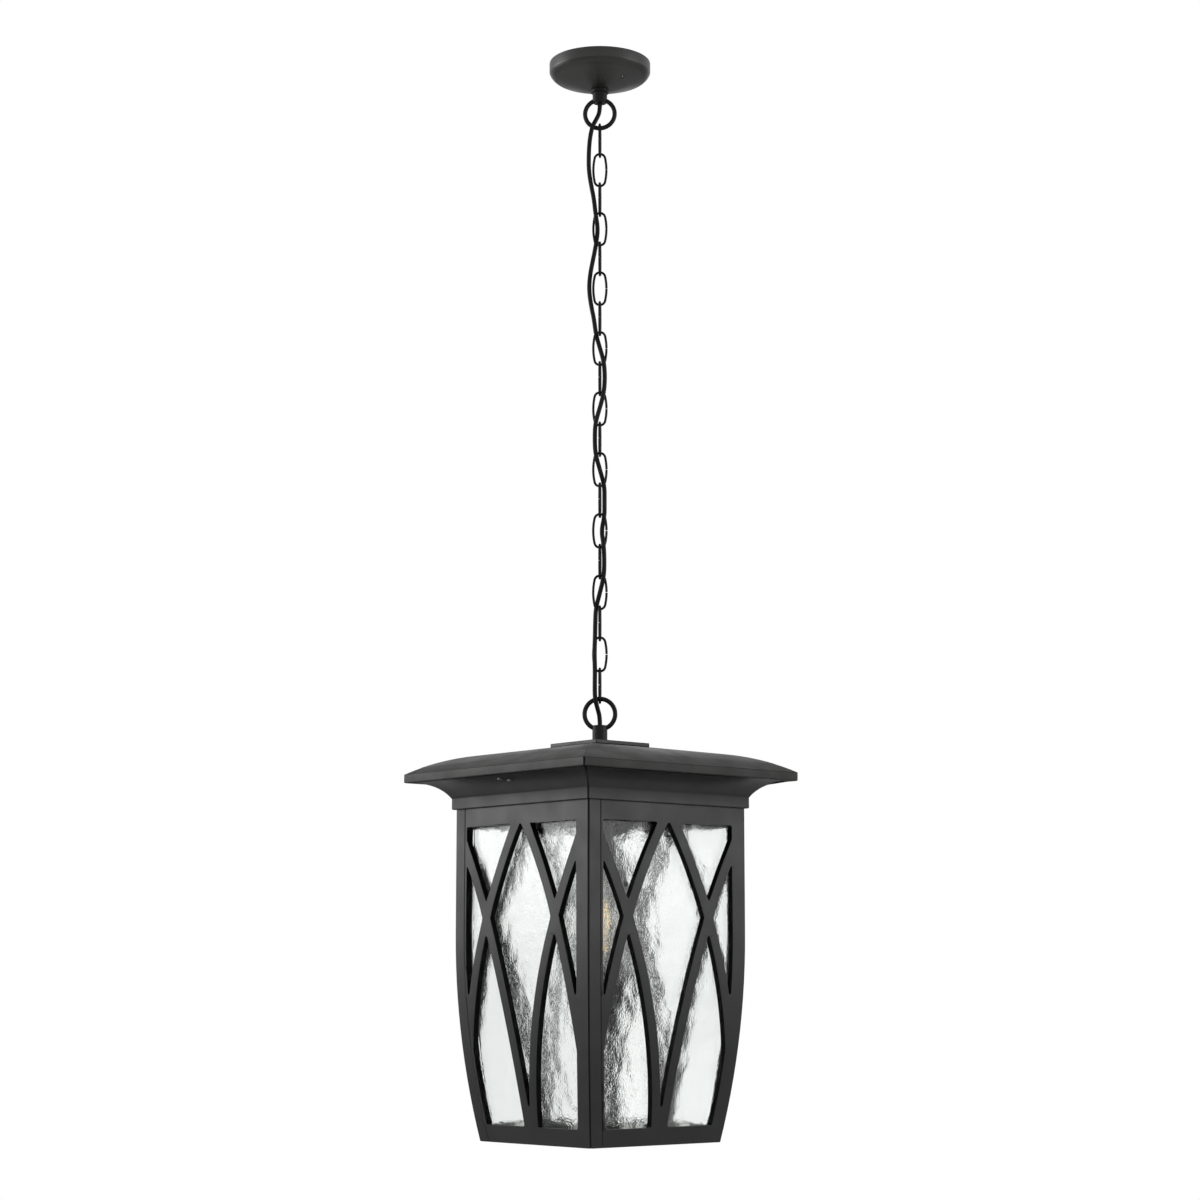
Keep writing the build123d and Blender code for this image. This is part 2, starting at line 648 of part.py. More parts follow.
def lampholder():
    """Cap, barrel, screw shell and centre contact of the lampholder."""
    cap = upright(HOLDER_NECK_RADIUS, HOLDER_CAP_TOP, HOLDER_TOP)
    cap += upright(HOLDER_RADIUS, HOLDER_JOINT, HOLDER_CAP_TOP)
    cap -= upright(HOLDER_RADIUS - HOLDER_CAP_WALL, HOLDER_JOINT, HOLDER_CAP_TOP - HOLDER_CAP_WALL)
    cap -= upright(TUBE_RADIUS + FIT, HOLDER_JOINT, HOLDER_TOP)
    barrel_bottom = HOLDER_JOINT - HOLDER_HEIGHT
    barrel = upright(HOLDER_RADIUS, barrel_bottom, HOLDER_JOINT)
    barrel -= upright(SHELL_RADIUS + FIT, barrel_bottom, SHELL_TOP)
    shell = upright(SHELL_RADIUS, SHELL_TOP - SHELL_HEIGHT, SHELL_TOP)
    shell -= upright(SHELL_RADIUS - SHELL_WALL, SHELL_TOP - SHELL_HEIGHT, SHELL_TOP)
    contact = upright(CONTACT_RADIUS, CONTACT_BOTTOM, SHELL_TOP)
    return cap, barrel, shell, contact


def socket_leads():
    """Two insulated wires from the end of the cord to the lampholder's terminals."""
    start = CORD_RADIUS - LEAD_RADIUS - FIT
    level = (CORD_END + HOLDER_JOINT) / 2
    bend = 2 * LEAD_RADIUS
    leads = []
    for side in (-1, 1):
        path = FilletPolyline(
            (side * start, 0, CORD_END),
            (side * start, 0, level),
            (side * LEAD_SPREAD, 0, level),
            (side * LEAD_SPREAD, 0, HOLDER_JOINT),
            radius=bend,
        )
        leads.append(sweep((path ^ 0) * Circle(LEAD_RADIUS), path=path))
    return leads


def bulb_base():
    shoulder = BULB_TOP - BASE_TIP_HEIGHT
    return turned(
        (0, BULB_TOP),
        (BASE_TIP_RADIUS, BULB_TOP),
        (BASE_TIP_RADIUS, BULB_TOP - BASE_TIP_HEIGHT / 2),
        (BASE_RADIUS, shoulder),
        (BASE_RADIUS, BASE_BOTTOM),
        (0, BASE_BOTTOM),
    )


def bulb_globe():
    """Glass envelope: straight neck, a flank that meets the ball tangentially, and the ball."""
    centre = BULB_TOP - BULB_LENGTH + BULB_RADIUS
    neck_bottom = BASE_BOTTOM - NECK_LENGTH

    def envelope(wall):
        ball = BULB_RADIUS - wall
        neck = BASE_RADIUS - wall
        rise = neck_bottom - centre
        angle = atan2(neck, rise) + pi / 2 - asin(ball / sqrt(neck**2 + rise**2))
        touch = (ball * sin(angle), centre + ball * cos(angle))
        low = (angle + pi) / 2
        edges = [
            Line((0, BASE_BOTTOM), (neck, BASE_BOTTOM)),
            Line((neck, BASE_BOTTOM), (neck, neck_bottom)),
            Line((neck, neck_bottom), touch),
            ThreePointArc(touch, (ball * sin(low), centre + ball * cos(low)), (0, centre - ball)),
            Line((0, centre - ball), (0, BASE_BOTTOM)),
        ]
        return revolve(Plane.XZ * make_face(edges), Axis.Z)

    return envelope(0) - envelope(BULB_WALL)


def bulb_stem():
    """Glass stem that carries the filaments, seated on the base."""
    shoulder = BASE_BOTTOM - STEM_GLASS_LENGTH
    stem = upright(STEM_GLASS_RADIUS, shoulder, BASE_BOTTOM)
    return stem + upright(STEM_ROD_RADIUS, shoulder - FILAMENT_LENGTH, shoulder)


def bulb_filaments():
    """Rods that hang from the stem's shoulder, spread round its tip."""
    top = BASE_BOTTOM - STEM_GLASS_LENGTH
    root = STEM_GLASS_RADIUS - FILAMENT_RADIUS
    path = FilletPolyline(
        (root, 0, top),
        (root, 0, top - FILAMENT_STEP),
        (FILAMENT_SPREAD, 0, top - 2 * FILAMENT_STEP),
        (FILAMENT_SPREAD, 0, top - FILAMENT_LENGTH),
        radius=2 * FILAMENT_RADIUS,
    )
    rod = sweep((path ^ 0) * Circle(FILAMENT_RADIUS), path=path)
    return [Rot(0, 0, 360 / FILAMENT_COUNT * k) * rod for k in range(FILAMENT_COUNT)]


def cap_plate():
    plate = Pos(0, 0, PLATE_TOP - PLATE_THICKNESS / 2) * Box(PLATE_WIDTH, PLATE_WIDTH, PLATE_THICKNESS)
    return plate - upright(TUBE_RADIUS + FIT, ROOF_TOP, PLATE_TOP)


def roof_washer():
    bottom = ROOF_UNDERSIDE - WASHER_THICKNESS
    washer = upright(WASHER_RADIUS, bottom, ROOF_UNDERSIDE)
    return washer - upright(TUBE_RADIUS + FIT, bottom, ROOF_UNDERSIDE)


def ceiling_nodes():
    nipple_bottom = CANOPY_FLOOR - LOOP_SOCKET_DEPTH + TUBE_STANDOFF
    loop = Rot(0, 0, 90) * Rot(180, 0, 0) * collar_loop(TOP_LOOP_HEIGHT)
    return {
        "mounting_bar": mounting_bar(),
        "ground_screw": GROUND_PLACE * screw(GROUND_SCREW),
        "bar_nipple": threaded_tube(nipple_bottom, 0),
        "bar_lock_nut": hex_nut(-BAR_THICKNESS),
        "canopy": canopy(),
        "top_loop": Pos(0, 0, CANOPY_FLOOR) * loop,
        "cord_tail_top": upright(CORD_RADIUS, TOP_LOOP_END, 0),
    }


def chain_nodes():
    """Odd links stand edge-on to the near corner, even ones face it."""
    link = chain_link()
    nodes = {}
    for k in range(LINK_COUNT):
        height = FIRST_LINK_TOP - LINK_LENGTH / 2 - k * LINK_STEP
        nodes[f"chain_link_{k + 1:02d}"] = Pos(0, 0, height) * Rot(0, 0, 45 if k % 2 else -45) * link
    return nodes


def roof_nodes():
    return {
        "bottom_loop": Pos(0, 0, PLATE_TOP) * collar_loop(BOTTOM_LOOP_HEIGHT),
        "cap_plate": cap_plate(),
        "roof": roof(),
        "cove_collar": cove_collar(),
        "soffit_screws": [place * screw(SOFFIT_SCREW) for place in soffit_places()],
        "roof_washer": roof_washer(),
        "roof_nut": hex_nut(ROOF_UNDERSIDE - WASHER_THICKNESS),
        "lamp_stem": threaded_tube(STEM_BOTTOM, STEM_TOP),
        "cord_tail_bottom": upright(CORD_RADIUS, CORD_END, BOTTOM_LOOP_END),
    }


def body_nodes():
    nodes = {}
    for side, frame, pane in zip(SIDES, quarter_turns(side_frame()), quarter_turns(glass_pane())):
        nodes[f"side_frame_{side}"] = frame
        nodes[f"glass_pane_{side}"] = pane
    groups = {
        "glass_clips": side_clips(),
        "clip_screws": side_clip_screws(),
        "corner_screws": side_corner_screws(),
    }
    for name, solids in groups.items():
        nodes[name] = [turn for one in solids for turn in quarter_turns(one)]
    nodes["collar_screws"] = collar_screws()
    return nodes


def lamp_nodes():
    cap, barrel, shell, contact = lampholder()
    return {
        "lampholder_cap": cap,
        "lampholder_barrel": barrel,
        "lampholder_shell": shell,
        "lampholder_contact": contact,
        "socket_leads": socket_leads(),
        "bulb_base": bulb_base(),
        "bulb_globe": bulb_globe(),
        "bulb_stem": bulb_stem(),
        "bulb_filaments": bulb_filaments(),
    }


os.makedirs("parts", exist_ok=True)
lantern = {**ceiling_nodes(), **chain_nodes(), "lamp_cord": lamp_cord()}
lantern |= {**roof_nodes(), **body_nodes(), **lamp_nodes()}
for name, shape in lantern.items():
    solid = Compound(children=shape) if isinstance(shape, list) else shape
    export_step(solid, f"parts/{name}.step")
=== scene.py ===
import json
from math import radians, sqrt

import bpy
from bpy.props import FloatProperty, FloatVectorProperty, PointerProperty
from mathutils import Matrix, Vector

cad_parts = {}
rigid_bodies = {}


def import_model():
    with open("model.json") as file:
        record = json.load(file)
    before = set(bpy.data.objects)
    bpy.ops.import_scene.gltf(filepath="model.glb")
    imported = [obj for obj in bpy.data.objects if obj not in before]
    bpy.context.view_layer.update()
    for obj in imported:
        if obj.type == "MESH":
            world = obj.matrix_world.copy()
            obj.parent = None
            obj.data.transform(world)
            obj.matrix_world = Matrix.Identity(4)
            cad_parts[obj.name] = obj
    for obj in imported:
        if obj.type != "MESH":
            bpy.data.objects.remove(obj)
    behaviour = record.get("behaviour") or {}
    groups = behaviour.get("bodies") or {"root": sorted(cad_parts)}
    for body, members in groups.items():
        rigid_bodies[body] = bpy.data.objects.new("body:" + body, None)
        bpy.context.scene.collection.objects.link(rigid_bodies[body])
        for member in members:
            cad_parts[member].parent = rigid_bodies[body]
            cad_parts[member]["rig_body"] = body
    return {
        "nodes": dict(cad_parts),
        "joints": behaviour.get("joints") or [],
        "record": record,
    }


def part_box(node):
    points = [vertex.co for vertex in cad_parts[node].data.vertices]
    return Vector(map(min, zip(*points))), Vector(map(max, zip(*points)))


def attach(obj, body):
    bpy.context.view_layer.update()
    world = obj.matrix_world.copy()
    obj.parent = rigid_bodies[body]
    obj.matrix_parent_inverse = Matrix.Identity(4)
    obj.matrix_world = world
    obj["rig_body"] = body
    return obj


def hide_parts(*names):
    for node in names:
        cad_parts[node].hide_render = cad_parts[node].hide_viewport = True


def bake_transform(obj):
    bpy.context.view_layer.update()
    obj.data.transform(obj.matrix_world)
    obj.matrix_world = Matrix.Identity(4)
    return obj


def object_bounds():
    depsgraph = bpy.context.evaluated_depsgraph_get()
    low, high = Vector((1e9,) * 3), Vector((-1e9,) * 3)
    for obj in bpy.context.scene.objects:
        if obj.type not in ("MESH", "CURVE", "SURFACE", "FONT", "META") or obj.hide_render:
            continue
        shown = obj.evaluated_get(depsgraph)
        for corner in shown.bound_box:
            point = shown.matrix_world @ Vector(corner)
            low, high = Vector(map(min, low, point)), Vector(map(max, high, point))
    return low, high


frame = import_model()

# Hanging lantern, in metres, in the frame of the solids: the origin is the centre of the ceiling plane.

bl_info = {
    "name": "Hanging lantern",
    "version": (1, 0, 0),
    "blender": (4, 5, 0),
    "location": "3D View > Sidebar > Lantern",
    "description": "Dresses the hanging lantern: cord, castings, wavy glass, lamp and stage",
    "category": "Object",
}

SOLID_BOX = [list(corner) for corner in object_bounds()]
NODES = frame["nodes"]
SWINGS = [joint for joint in frame["joints"] if not joint.get("continuous")]
SIDES = ("left", "right", "back_right", "back_left")  # each a quarter turn on from the one before
FRONT = Vector((0, -1, 0))  # outward from the first side
SLOTS = {part["node"]: part["material_slot"] for part in frame["record"]["subparts"]}
CASTINGS = ("canopy", "cap_plate", "roof", "cove_collar", *[f"side_frame_{side}" for side in SIDES])

# Cord from the top collar to the lower one: (along the diagonal, towards the near corner, height)
CORD_ROUTE = [
    (0.0, 0.0, -0.047),
    (0.0, 0.0, -0.057),
    (-0.0036, 0.0032, -0.0665),
    (-0.0082, 0.0062, -0.076),
    (-0.0112, 0.005, -0.091),
    (-0.0124, 0.0032, -0.108),
    (-0.0124, 0.0024, -0.126),
    (-0.0098, 0.0036, -0.143),
    (-0.0064, 0.0044, -0.16),
    (-0.0046, 0.0055, -0.177),
    (-0.002, 0.0, -0.194),
    (-0.0048, -0.0053, -0.211),
    (-0.008, -0.0042, -0.228),
    (-0.0114, -0.0036, -0.246),
    (-0.0124, -0.0018, -0.263),
    (-0.0104, -0.0038, -0.28),
    (-0.0068, -0.0044, -0.2975),
    (-0.0048, -0.005, -0.3145),
    (0.0003, 0.0, -0.332),
    (0.005, 0.005, -0.349),
    (0.006, 0.0042, -0.366),
    (0.0049, 0.005, -0.3835),
    (0.0004, 0.0054, -0.4005),
    (-0.0048, 0.005, -0.418),
    (-0.0054, 0.0044, -0.435),
    (-0.0048, 0.005, -0.452),
    (0.0, 0.0, -0.4695),
    (0.0048, -0.0052, -0.487),
    (0.0046, -0.0072, -0.504),
    (0.0048, -0.0052, -0.521),
    (0.0016, -0.0002, -0.5385),
    (0.0047, 0.0057, -0.5555),
    (0.0052, 0.0036, -0.573),
    (0.0048, 0.005, -0.59),
    (0.0002, 0.0, -0.607),
    (-0.005, -0.0054, -0.6245),
    (-0.0052, -0.0014, -0.642),
    (-0.005, 0.0053, -0.659),
    (-0.0056, 0.0054, -0.676),
    (-0.005, 0.005, -0.693),
    (-0.0052, 0.0056, -0.71),
    (-0.005, 0.0064, -0.725),
    (-0.0024, 0.003, -0.736),
    (0.0, 0.0, -0.745),
    (0.0, 0.0, -0.75437),
]
CORD_TAILS = ("cord_tail_top", "cord_tail_bottom")  # its ends inside the collars and tubes
CORD_STEPS = 8  # points along each stretch of the route
CORD_SIDES = 6  # bevel resolution of the tube
TAIL_SIDES = 24
TAIL_EDGE = 0.05  # rounded edge of an end, in diameters

# Meshes, with angles in degrees
MERGE_DISTANCE = 0.000002
FLAT_ANGLE = 0.05  # up to which faces lie in one plane
SHARP_ANGLE = 35  # from which an edge is rounded
SMOOTH_ANGLE = 40  # up to which faces shade as one
PANE_SMOOTH_ANGLE = 50
EDGE_SEGMENTS = 2  # facets across a rounded edge
EDGE_ROOM = 2.6  # least width of a face, in widths of its rounded edge
STEEP = 0.6  # cosine below which a face of a frame counts as a side
EPSILON = 1e-9
WAVE_STRETCH = 1.3  # height of a wave over its width
RIPPLE_STRETCH = 1.1

# Painted shade: darker, less glossy paint on the sides of the openings, standing in for the shadow that
# falls there
REVEAL_PAINTED_SHADE = 0.3
REVEAL_SHADED_GLOSS = 0.06

WHITE = (1, 1, 1, 1)

# Studio light: upward part of the direction and brightness there
STUDIO_BAND = [
    (-1.0, 0.1), (-0.4, 0.12), (-0.2, 0.3), (-0.02, 0.55), (0.06, 0.95),
    (0.16, 1.0), (0.34, 0.7), (0.65, 0.35), (1.0, 0.28),
]

# Photograph's view
CAMERA_PLACE = (2.162, -1.866, -1.042)
CAMERA_TURN = 49.2
CAMERA_TILT = 8.49
CAMERA_LENS = 78.7

FLOOR_SIZE = 9
FLOOR_WHITE = 0.8  # share of plain white that the eye sees

# Lamps: name, place, target, width and power
LAMPS = [
    ("key", (-1.9, -1.6, -0.1), (0, 0, -0.95), 1.6, 26),
    ("fill", (2.3, 1.5, -0.2), (0, 0, -0.95), 1.8, 17),
    ("top", (-0.6, 0.6, 1.2), (0, 0, -0.8), 2.0, 5),
]


def measure(name, description, value, precision=4):
    """A size setting, in metres."""
    return FloatProperty(
        name=name, description=description, default=value, unit="LENGTH", precision=precision
    )


class LanternSizes(bpy.types.PropertyGroup):
    """Sizes of the dressed pieces."""

    cord_diameter: measure("Cord", "Diameter of the lamp cord", 0.005)
    soft_edge: measure("Soft edge", "Width of the rounded edges of castings", 0.0009)
    pane_cell: measure("Pane cell", "Spacing of the cuts across a pane", 0.005)
    wave_depth: measure("Wave depth", "Deepest hollow of the broad waves in the glass", 0.0009)
    wave_width: measure("Wave width", "Width of the broad waves in the glass", 0.02)
    ripple_depth: measure("Ripple depth", "Deepest hollow of the fine ripples", 0.00022, precision=5)
    ripple_width: measure("Ripple width", "Width of the fine ripples in the glass", 0.0055)
    floor_drop: measure("Floor drop", "From the foot of the lantern to the floor", 1.24, precision=2)


def colour(name, description, value):
    """A colour setting."""
    return FloatVectorProperty(
        name=name, description=description, default=value, subtype="COLOR", size=3, min=0, max=1
    )


class LanternColours(bpy.types.PropertyGroup):
    """Colours of the finishes."""

    casting: colour("Casting", "Black paint of the castings", (0.0125, 0.0125, 0.0133))
    casting_worn: colour("Casting edge", "Paint where an edge is rubbed", (0.035, 0.035, 0.036))
    # Painted shade: the roof's paint is a darker, slightly warmer copy of the casting paint, so that the
    # roof renders darker
    roof: colour("Roof", "Duller paint of the roof", (0.012, 0.012, 0.0105))
    # Painted sheen: the canopy's paint is a paler copy of the casting paint, standing in for the sheen on
    # the canopy
    canopy: colour("Canopy", "Paint of the canopy", (0.018, 0.018, 0.0165))
    chain: colour("Chain", "Paint of the chain and its loops", (0.009, 0.009, 0.0092))
    cord: colour("Cord", "Jacket of the lamp cord", (0.008, 0.008, 0.0083))
    zinc: colour("Zinc", "Plated bar, tubes, nuts and clips", (0.56, 0.56, 0.54))
    bright: colour("Bright steel", "Screws under the eave", (0.2, 0.2, 0.195))
    ground: colour("Ground screw", "Green ground screw", (0.04, 0.26, 0.09))
    holder: colour("Lampholder", "Black lampholder", (0.02, 0.019, 0.018))
    brass: colour("Brass", "Screw shell and contact", (0.72, 0.5, 0.2))
    lead: colour("Leads", "Insulation of the leads", (0.03, 0.03, 0.032))
    pane: colour("Pane", "Tint of the wavy glass", (0.91, 0.925, 0.917))
    bulb: colour("Bulb glass", "Tint of the bulb", (0.99, 0.985, 0.97))
    cap: colour("Bulb base", "Metal of the bulb's base", (0.7, 0.69, 0.66))
    filament: colour("Filament", "Filament and its light", (1.0, 0.76, 0.42))
    floor: colour("Floor", "Floor", (0.86, 0.86, 0.86))


class Finish:
    """A material with short calls for the nodes that the finishes share."""

    def __init__(self, name):
        self.material = bpy.data.materials.new(name)
        self.material.use_nodes = True
        self.tree = self.material.node_tree
        self.surface = self.tree.nodes["Principled BSDF"]
        self.place = self.tree.nodes.new("ShaderNodeTexCoord").outputs["Object"]

    def set(self, **values):
        """Constant values on the surface's own sockets."""
        for name, value in values.items():
            socket = name.replace("_", " ").title().replace("Ior", "IOR")
            self.surface.inputs[socket].default_value = value

    def link(self, output, name):
        self.tree.links.new(output, self.surface.inputs[name])

    def add(self, kind, **inputs):
        """A node with its inputs given by name, as values or as outputs of other nodes."""
        node = self.tree.nodes.new(kind)
        for name, value in inputs.items():
            socket = node.inputs[name.replace("_", " ")]
            if isinstance(value, bpy.types.NodeSocket):
                self.tree.links.new(value, socket)
            else:
                socket.default_value = value
        return node

    def noise(self, size, detail=2.0, stretch=(1, 1, 1)):
        """Noise whose grains are about that many metres wide, drawn out by stretch."""
        mapping = self.add("ShaderNodeMapping", Vector=self.place, Scale=[1 / s for s in stretch])
        place = mapping.outputs[0]
        noise = self.add("ShaderNodeTexNoise", Vector=place, Scale=1 / size, Detail=detail)
        return noise.outputs["Fac"]

    def between(self, value, low, high, start=0.3, end=0.7):
        """The value's range from start to end spread over low to high."""
        node = self.add("ShaderNodeMapRange", Value=value)
        limits = {"From Min": start, "From Max": end, "To Min": low, "To Max": high}
        for name, number in limits.items():
            node.inputs[name].default_value = number
        return node.outputs[0]

    def blend(self, factor, first, second):
        """A colour between two, each a colour or another node's output."""
        node = self.tree.nodes.new("ShaderNodeMix")
        node.data_type = "RGBA"
        self.tree.links.new(factor, node.inputs["Factor"])
        colours = [socket for socket in node.inputs if socket.type == "RGBA"]
        for socket, value in zip(colours, (first, second)):
            if isinstance(value, bpy.types.NodeSocket):
                self.tree.links.new(value, socket)
            else:
                socket.default_value = (*value, 1)
        return next(socket for socket in node.outputs if socket.type == "RGBA")

    def mottle(self, tone, darkest, palest, size, detail=2.0, stretch=(1, 1, 1)):
        """The tone in soft patches of that size, from darkest to palest times its value."""
        patches = self.between(self.noise(size, detail, stretch), 0, 1)
        return self.blend(patches, shade(tone, darkest), shade(tone, palest))

    def roughen(self, smoothest, roughest, size, detail):
        """Roughness that changes between two values in patches of that size."""
        self.link(self.between(self.noise(size, detail), smoothest, roughest), "Roughness")

    def grain(self, size, depth, stretch=(1, 1, 1)):
        """Grains of that size and depth in the surface."""
        self.link(self.bump(self.noise(size, stretch=stretch), depth), "Normal")

    def bump(self, height, depth, strength=1.0, under=None):
        """Bump of that depth in metres, over another one if given."""
        node = self.add("ShaderNodeBump", Height=height, Strength=strength, Distance=depth)
        if under:
            self.tree.links.new(under, node.inputs["Normal"])
        return node.outputs[0]

    def attribute(self, name):
        """A number that the mesh carries, 0 where it has none."""
        node = self.tree.nodes.new("ShaderNodeAttribute")
        node.attribute_name = name
        return node.outputs["Fac"]

    def edges(self, width):
        """Mask that is 1 along outer edges of that width and 0 on the flat."""
        rounded = self.tree.nodes.new("ShaderNodeBevel")
        rounded.inputs["Radius"].default_value = width
        flat = self.tree.nodes.new("ShaderNodeNewGeometry")
        dot = self.tree.nodes.new("ShaderNodeVectorMath")
        dot.operation = "DOT_PRODUCT"
        self.tree.links.new(rounded.outputs[0], dot.inputs[0])
        self.tree.links.new(flat.outputs["Normal"], dot.inputs[1])
        return self.between(dot.outputs["Value"], 1, 0, start=0.75, end=0.99)


def shade(tone, factor):
    """A tone made darker or paler by that factor."""
    return tuple(min(channel * factor, 1) for channel in tone)


def mix_shaders(tree, factor, first, second, output):
    """Puts a mix of two shaders, by that factor, on the output of that name."""
    mixed = tree.nodes.new("ShaderNodeMixShader")
    for socket, source in zip(mixed.inputs, (factor, first.outputs[0], second.outputs[0])):
        tree.links.new(source, socket)
    tree.links.new(mixed.outputs[0], tree.nodes[output].inputs["Surface"])


def painted_metal(name, tone, worn, grain=0.0009, gloss=0.42):
    """Satin black paint on metal: fine grain, patches of gloss, edges rubbed a little paler, and painted
    shade on the sides of openings.
    """
    finish = Finish(name)
    base = finish.mottle(tone, 0.8, 1.25, size=0.09, detail=4)
    rubbed = finish.blend(finish.edges(width=0.0014), base, worn)
    # Painted shade: the marked sides of openings get darker paint and less gloss
    painted_reveal_shade = finish.attribute("painted_reveal_shade")
    finish.link(finish.blend(painted_reveal_shade, rubbed, shade(tone, REVEAL_PAINTED_SHADE)), "Base Color")
    finish.roughen(0.34, 0.46, size=0.03, detail=5)
    finish.link(finish.between(painted_reveal_shade, gloss, REVEAL_SHADED_GLOSS, start=0, end=1), "Specular IOR Level")
    orange_peel = finish.bump(finish.noise(grain, detail=3), depth=0.00003)
    swells = finish.bump(finish.noise(0.012), depth=0.00012, strength=0.6, under=orange_peel)
    finish.link(swells, "Normal")
    return finish.material


def cord_jacket(tone):
    """Smooth black jacket with faint drawing lines along it."""
    finish = Finish("cord_jacket")
    finish.link(finish.mottle(tone, 0.75, 1.4, size=0.025, detail=3, stretch=(1, 1, 3)), "Base Color")
    finish.roughen(0.36, 0.52, size=0.012, detail=4)
    finish.grain(size=0.0008, depth=0.00004, stretch=(1, 1, 12))
    finish.set(specular_ior_level=0.16)
    return finish.material


def plated_metal(name, tone, rough=(0.28, 0.44), stretch=(1, 6, 1)):
    """Bare or plated metal with fine brushing and cloudy gloss."""
    finish = Finish(name)
    finish.link(finish.mottle(tone, 0.82, 1.12, size=0.008, detail=4), "Base Color")
    finish.roughen(*rough, size=0.004, detail=5)
    finish.grain(size=0.0005, depth=0.00002, stretch=stretch)
    finish.set(metallic=1.0)
    return finish.material


def moulded(name, tone, rough=(0.38, 0.55)):
    """Moulded insulating plastic."""
    finish = Finish(name)
    finish.link(finish.mottle(tone, 0.8, 1.3, size=0.006, detail=3), "Base Color")
    finish.roughen(*rough, size=0.003, detail=3)
    finish.grain(size=0.0006, depth=0.00003)
    return finish.material


def clear_glass(name, tone, grain, depth, glint=1.0):
    """Glass that lamps shine through, with a fine grain in its surface and that much of its glint."""
    finish = Finish(name)
    finish.link(finish.mottle(tone, 0.985, 1, size=0.05), "Base Color")
    finish.grain(grain, depth, stretch=(1, 1, 1.3))
    finish.set(transmission_weight=1.0, ior=1.5, roughness=0.0, specular_tint=(glint, glint, glint, 1))
    path = finish.add("ShaderNodeLightPath")
    clear = finish.add("ShaderNodeBsdfTransparent", Color=(*shade(tone, 0.97), 1))
    shadow = path.outputs["Is Shadow Ray"]
    mix_shaders(finish.tree, shadow, finish.surface, clear, "Material Output")
    return finish.material


def glowing(tone):
    """Coated filament that gives a warm light."""
    finish = Finish("filament_glow")
    warm = finish.mottle(tone, 0.8, 1, size=0.0015)
    finish.link(warm, "Base Color")
    finish.link(warm, "Emission Color")
    finish.set(roughness=0.4, emission_strength=1.2)
    return finish.material


def only(obj):
    """Leaves obj selected and active, and nothing else."""
    bpy.ops.object.select_all(action="DESELECT")
    obj.select_set(True)
    bpy.context.view_layer.objects.active = obj


def into_edit(obj):
    """Opens obj in edit mode with its whole mesh selected."""
    only(obj)
    bpy.ops.object.mode_set(mode="EDIT")
    bpy.ops.mesh.select_all(action="SELECT")


def out_of_edit():
    """Closes edit mode."""
    bpy.ops.object.mode_set(mode="OBJECT")


def apply_modifier(obj, kind, **settings):
    """Adds a modifier with those settings and applies it."""
    only(obj)
    modifier = obj.modifiers.new(kind.lower(), kind)
    for name, value in settings.items():
        setattr(modifier, name, value)
    bpy.ops.object.modifier_apply(modifier=modifier.name)


def copy_of(source, name):
    """A copy of an object with its own mesh and no parent, at the origin."""
    copied = bpy.data.objects.new(name, source.data.copy())
    bpy.context.scene.collection.objects.link(copied)
    return copied


def merged_copy(node, name):
    """A copy of a solid's mesh as one closed surface, with flat faces whole again."""
    copied = copy_of(NODES[node], name)
    into_edit(copied)
    bpy.ops.mesh.remove_doubles(threshold=MERGE_DISTANCE)
    bpy.ops.mesh.dissolve_limited(angle_limit=radians(FLAT_ANGLE))
    out_of_edit()
    return copied


def face_widths(mesh):
    """For each edge, how wide the narrower of its faces is across it."""
    widths = {}
    for face in mesh.polygons:
        for key in face.edge_keys:
            first, second = [mesh.vertices[index].co for index in key]
            width = face.area / max((first - second).length, EPSILON)
            widths[key] = min(width, widths.get(key, width))
    return widths


def soften(obj, width):
    """Rounds the sharp edges of a closed mesh, apart from small holes and narrow grooves."""
    into_edit(obj)
    bpy.ops.mesh.select_mode(type="EDGE")
    bpy.ops.mesh.select_all(action="DESELECT")
    bpy.ops.mesh.edges_select_sharp(sharpness=radians(SHARP_ANGLE))
    out_of_edit()
    mesh = obj.data
    widths = face_widths(mesh)
    rounding = mesh.attributes.new("bevel_weight_edge", "FLOAT", "EDGE")
    for edge in mesh.edges:
        first, second = [mesh.vertices[index].co for index in edge.vertices]
        roomy = (first - second).length > width and widths[edge.key] > EDGE_ROOM * width
        rounding.data[edge.index].value = edge.select and roomy
    apply_modifier(
        obj, "BEVEL", width=width, segments=EDGE_SEGMENTS, limit_method="WEIGHT", use_clamp_overlap=False
    )
    smooth(obj)
    apply_modifier(obj, "WEIGHTED_NORMAL", keep_sharp=True)


def mark_reveal_shade(obj, outward):
    """Marks the sides of a frame's openings for painted shade, and not those round its rim."""
    faces = obj.data.polygons
    reveals = {face.index for face in faces if abs(face.normal.dot(outward)) < STEEP}
    at_corner = {}
    for index in reveals:
        for corner in faces[index].vertices:
            at_corner.setdefault(corner, []).append(index)
    rim = [min(reveals, key=lambda index: faces[index].center.z)]
    while rim:
        for corner in faces[rim.pop()].vertices:
            linked = reveals.intersection(at_corner[corner])
            reveals -= linked
            rim.extend(linked)
    # This mark puts painted shade on the faces left in the set
    marks = obj.data.attributes.new("painted_reveal_shade", "FLOAT", "FACE")
    for index in reveals:
        marks.data[index].value = 1


def smooth(obj, angle=SMOOTH_ANGLE):
    """Shades obj as smooth where its faces meet at less than that angle."""
    only(obj)
    bpy.ops.object.shade_smooth_by_angle(angle=radians(angle))


def dress(obj, material):
    """Gives obj that one material."""
    obj.data.materials.clear()
    obj.data.materials.append(material)


def piece(obj, body, slot, material, *nodes):
    """Finishes a rigid piece: its material, body and the solids that it stands for; the slot is not used.
    """
    dress(obj, material)
    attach(obj, body)
    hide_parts(*nodes)


